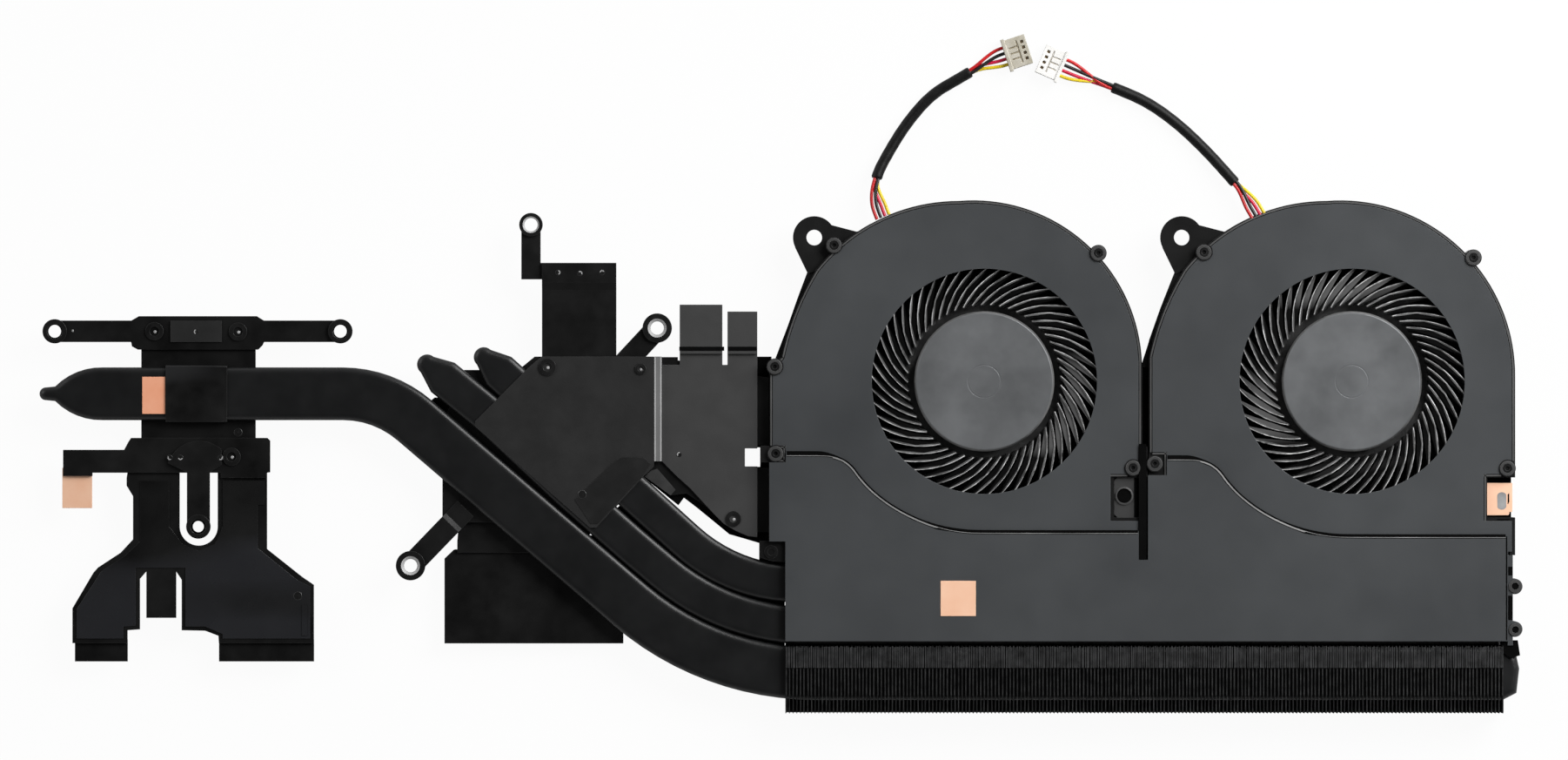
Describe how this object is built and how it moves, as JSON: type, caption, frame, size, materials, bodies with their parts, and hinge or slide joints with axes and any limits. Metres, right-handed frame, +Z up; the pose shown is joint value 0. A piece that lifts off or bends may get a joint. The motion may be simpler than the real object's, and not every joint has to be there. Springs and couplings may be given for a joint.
{
  "type": "laptop cooling fan heatsink",
  "caption": "Laptop cooler with blower fans, a fin stack, flat heat pipes and cold-plate modules on screw arms.",
  "frame": {"origin": "under the middle of the cooler's length and depth, leads left out, on the face it rests on", "axes": "+X along the length from the cold plates to the fans, +Y from the fins to the leads, +Z up out of the fan inlets"},
  "size_m": [0.3228, 0.1479, 0.0099],
  "materials": {
    "fan_housing": "satin moulded black",
    "impeller": "satin moulded black",
    "cover_sheet": "dark grey satin coating",
    "fins": "blackened, with bright cut edges",
    "pipes": "black satin coating",
    "module_plate": "near-black matt coating",
    "film": "thin satin film",
    "bright_steel": "bright",
    "bare_copper": "bare, slightly brushed",
    "bearing_brass": "turned",
    "magnet": "dark sintered",
    "circuit_board": "green lacquer",
    "lead_sleeve": "matt black sleeve",
    "connector": "white moulded"
  },
  "bodies": {
    "cooler": {"centre_base_plate": "module_plate", "centre_cold_plate": "bare_copper", "centre_cover_plate": "module_plate", "centre_cover_tape": "film", "centre_edge_rail": "bright_steel", "centre_left_spring_arm": "module_plate", "centre_lower_plate": "module_plate", "centre_right_spring_arm": "module_plate", "centre_rivets": "bright_steel", "centre_screw_collars": "bright_steel", "centre_upper_bracket": "module_plate", "centre_upper_spring_arm": "module_plate", "duct_copper_pad": "bare_copper", "duct_cover_plate": "cover_sheet", "duct_end_rail": "cover_sheet", "fin_stack": "fins", "left_base_plate": "module_plate", "left_cold_plate": "bare_copper", "left_copper_tab": "bare_copper", "left_fan_bearing_sleeve": "bearing_brass", "left_fan_connector": "connector", "left_fan_cover": "cover_sheet", "left_fan_frame": "fan_housing", "left_fan_lead": "lead_sleeve", "left_fan_motor_board": "circuit_board", "left_fan_screws": "bright_steel", "left_fan_stator_coils": "bare_copper", "left_fan_stator_core": "bright_steel", "left_finger_arm": "module_plate", "left_lower_bar": "module_plate", "left_memory_film": "film", "left_memory_plate": "module_plate", "left_pipe_copper_pad": "bare_copper", "left_pipe_saddle": "module_plate", "left_rivets": "bright_steel", "left_screw_collars": "bright_steel", "left_upper_spring_arm": "module_plate", "long_heat_pipe": "pipes", "middle_heat_pipe": "pipes", "right_fan_bearing_sleeve": "bearing_brass", "right_fan_connector": "connector", "right_fan_copper_clip": "bare_copper", "right_fan_cover": "cover_sheet", "right_fan_frame": "fan_housing", "right_fan_lead": "lead_sleeve", "right_fan_motor_board": "circuit_board", "right_fan_screws": "bright_steel", "right_fan_stator_coils": "bare_copper", "right_fan_stator_core": "bright_steel", "side_lower_plate": "module_plate", "side_plate": "module_plate", "upper_heat_pipe": "pipes"},
    "left_rotor": {"left_fan_impeller": "impeller", "left_fan_rotor_yoke": "bright_steel", "left_fan_magnet_ring": "magnet", "left_fan_rotor_shaft": "bright_steel"},
    "right_rotor": {"right_fan_impeller": "impeller", "right_fan_rotor_yoke": "bright_steel", "right_fan_magnet_ring": "magnet", "right_fan_rotor_shaft": "bright_steel"}
  },
  "joints": [
    {"name": "left_fan_spin", "type": "hinge", "parent": "cooler", "child": "left_rotor", "pos_m": [0.0443, 0.0164, 0.005], "axis": [0, 0, 1], "continuous": true},
    {"name": "right_fan_spin", "type": "hinge", "parent": "cooler", "child": "right_rotor", "pos_m": [0.1243, 0.0164, 0.005], "axis": [0, 0, 1], "continuous": true}
  ]
}
